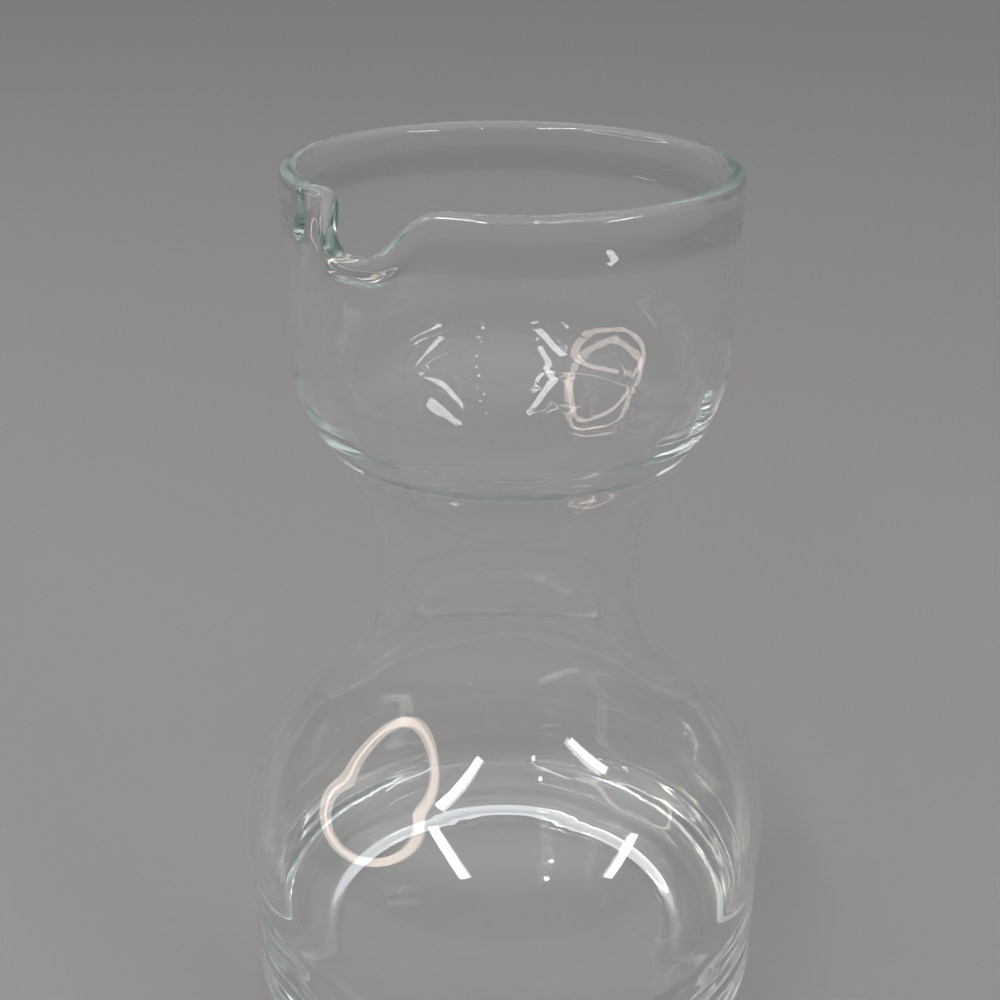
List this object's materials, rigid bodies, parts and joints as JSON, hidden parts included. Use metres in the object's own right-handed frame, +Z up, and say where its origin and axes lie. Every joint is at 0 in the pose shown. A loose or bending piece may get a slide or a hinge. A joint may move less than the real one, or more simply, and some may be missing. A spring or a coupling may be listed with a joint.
{
  "type": "wine carafe",
  "caption": "Clear glass carafe with a wide pouring cup, pinched lip, waisted neck and round ringed body, for serving wine or water.",
  "frame": {"origin": "middle of the base, on the plane of the foot ring that stands on the table", "axes": "+Z up along the axis of the vessel, +X towards the pouring lip, Y across the lip"},
  "size_m": [0.1254, 0.1254, 0.2],
  "materials": {
    "clear_glass": "clear, fire-polished, faint green-grey tint in thick glass"
  },
  "bodies": {
    "root": {"carafe": "clear_glass"}
  },
  "joints": []
}
